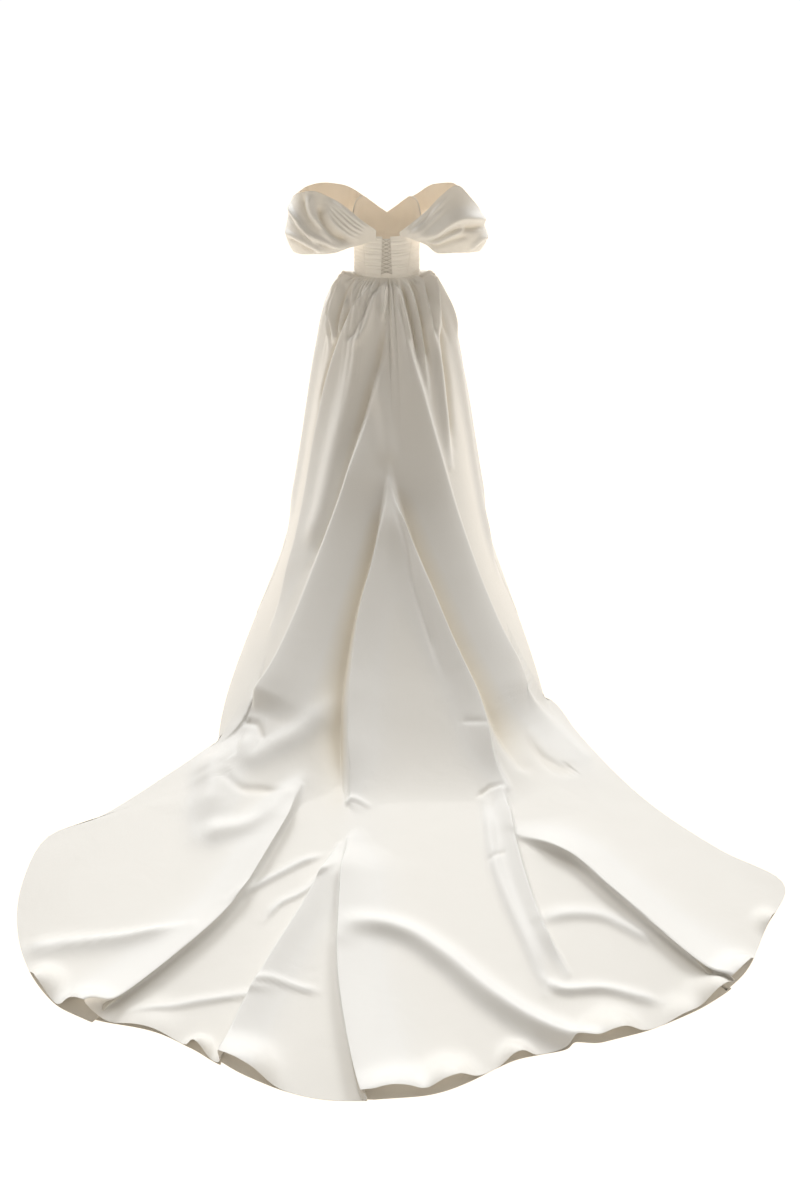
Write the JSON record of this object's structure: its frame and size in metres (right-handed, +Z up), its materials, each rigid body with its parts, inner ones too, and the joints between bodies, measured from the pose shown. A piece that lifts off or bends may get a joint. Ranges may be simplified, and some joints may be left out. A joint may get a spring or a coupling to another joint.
{
  "type": "evening gown",
  "caption": "Off-the-shoulder evening gown standing empty, with draped sleeves, a laced corset back, a lined bodice and a full skirt drawn back into a long floor train.",
  "frame": {"origin": "middle of the waist, where the wearer's waist holds the gown", "axes": "+Z up, +Y the way the wearer faces, the train trails to -Y, +X to the wearer's right; the floor is at z = -1.12"},
  "size_m": [1.9816, 2.9232, 1.4291],
  "materials": {
    "satin": "heavy ivory satin with a soft sheen",
    "lining": "fine matt nude lining",
    "cord": "round satin cord"
  },
  "bodies": {
    "root": {"skirt_back_left": "satin", "skirt_back_right": "satin", "skirt_front": "satin", "bodice_back_left": "satin", "bodice_side_left": "satin", "bodice_back_right": "satin", "bodice_side_right": "satin", "bodice_front": "satin", "lacing_panel": "satin", "sleeve_left": "satin", "sleeve_right": "satin", "bodice_lining": "lining", "lace_over": "cord", "lace_under": "cord"}
  },
  "joints": []
}
